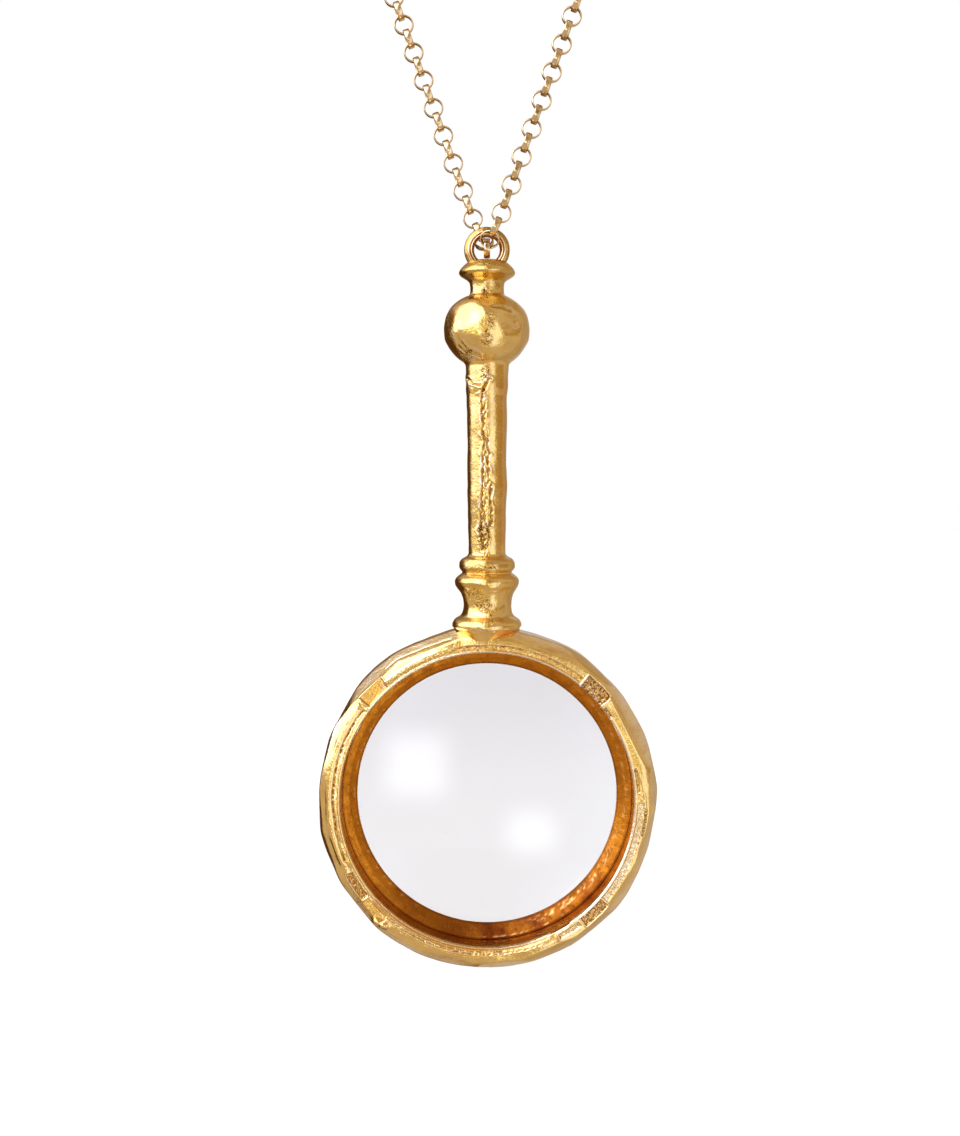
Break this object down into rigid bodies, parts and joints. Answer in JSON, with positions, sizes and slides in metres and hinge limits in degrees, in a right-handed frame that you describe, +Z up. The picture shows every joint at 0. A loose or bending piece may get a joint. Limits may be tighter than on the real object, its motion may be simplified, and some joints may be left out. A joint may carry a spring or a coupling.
{
  "type": "magnifier pendant on a chain",
  "caption": "Gold-tone magnifying lens in a round hoop on a turned handle, hanging by a loop from a necklace of round flat-strip links.",
  "frame": {"origin": "middle of the barrel clasp at the nape, where the chain lies on the back of the neck", "axes": "+Z up; the pendant's face looks along -Y; +X to the right as seen from the front"},
  "size_m": [0.1414, 0.1371, 0.2842],
  "materials": {
    "frame_gold": "polished gold plate with hand-worked flats",
    "ring_gold": "satin gold plate",
    "lens_glass": "clear polished",
    "chain_gold": "polished pale gold plate",
    "clasp_gold": "polished gold plate"
  },
  "bodies": {
    "chain": {"chain_front": "chain_gold", "chain_back": "chain_gold", "clasp": "clasp_gold"},
    "pendant": {"frame": "frame_gold", "lens_ring": "ring_gold", "lens": "lens_glass"}
  },
  "joints": [
    {"name": "pendant_swing", "type": "hinge", "parent": "chain", "child": "pendant", "pos_m": [0, -0.13, -0.18019], "axis": [0, 1, 0], "range_deg": [-70, 70]}
  ]
}
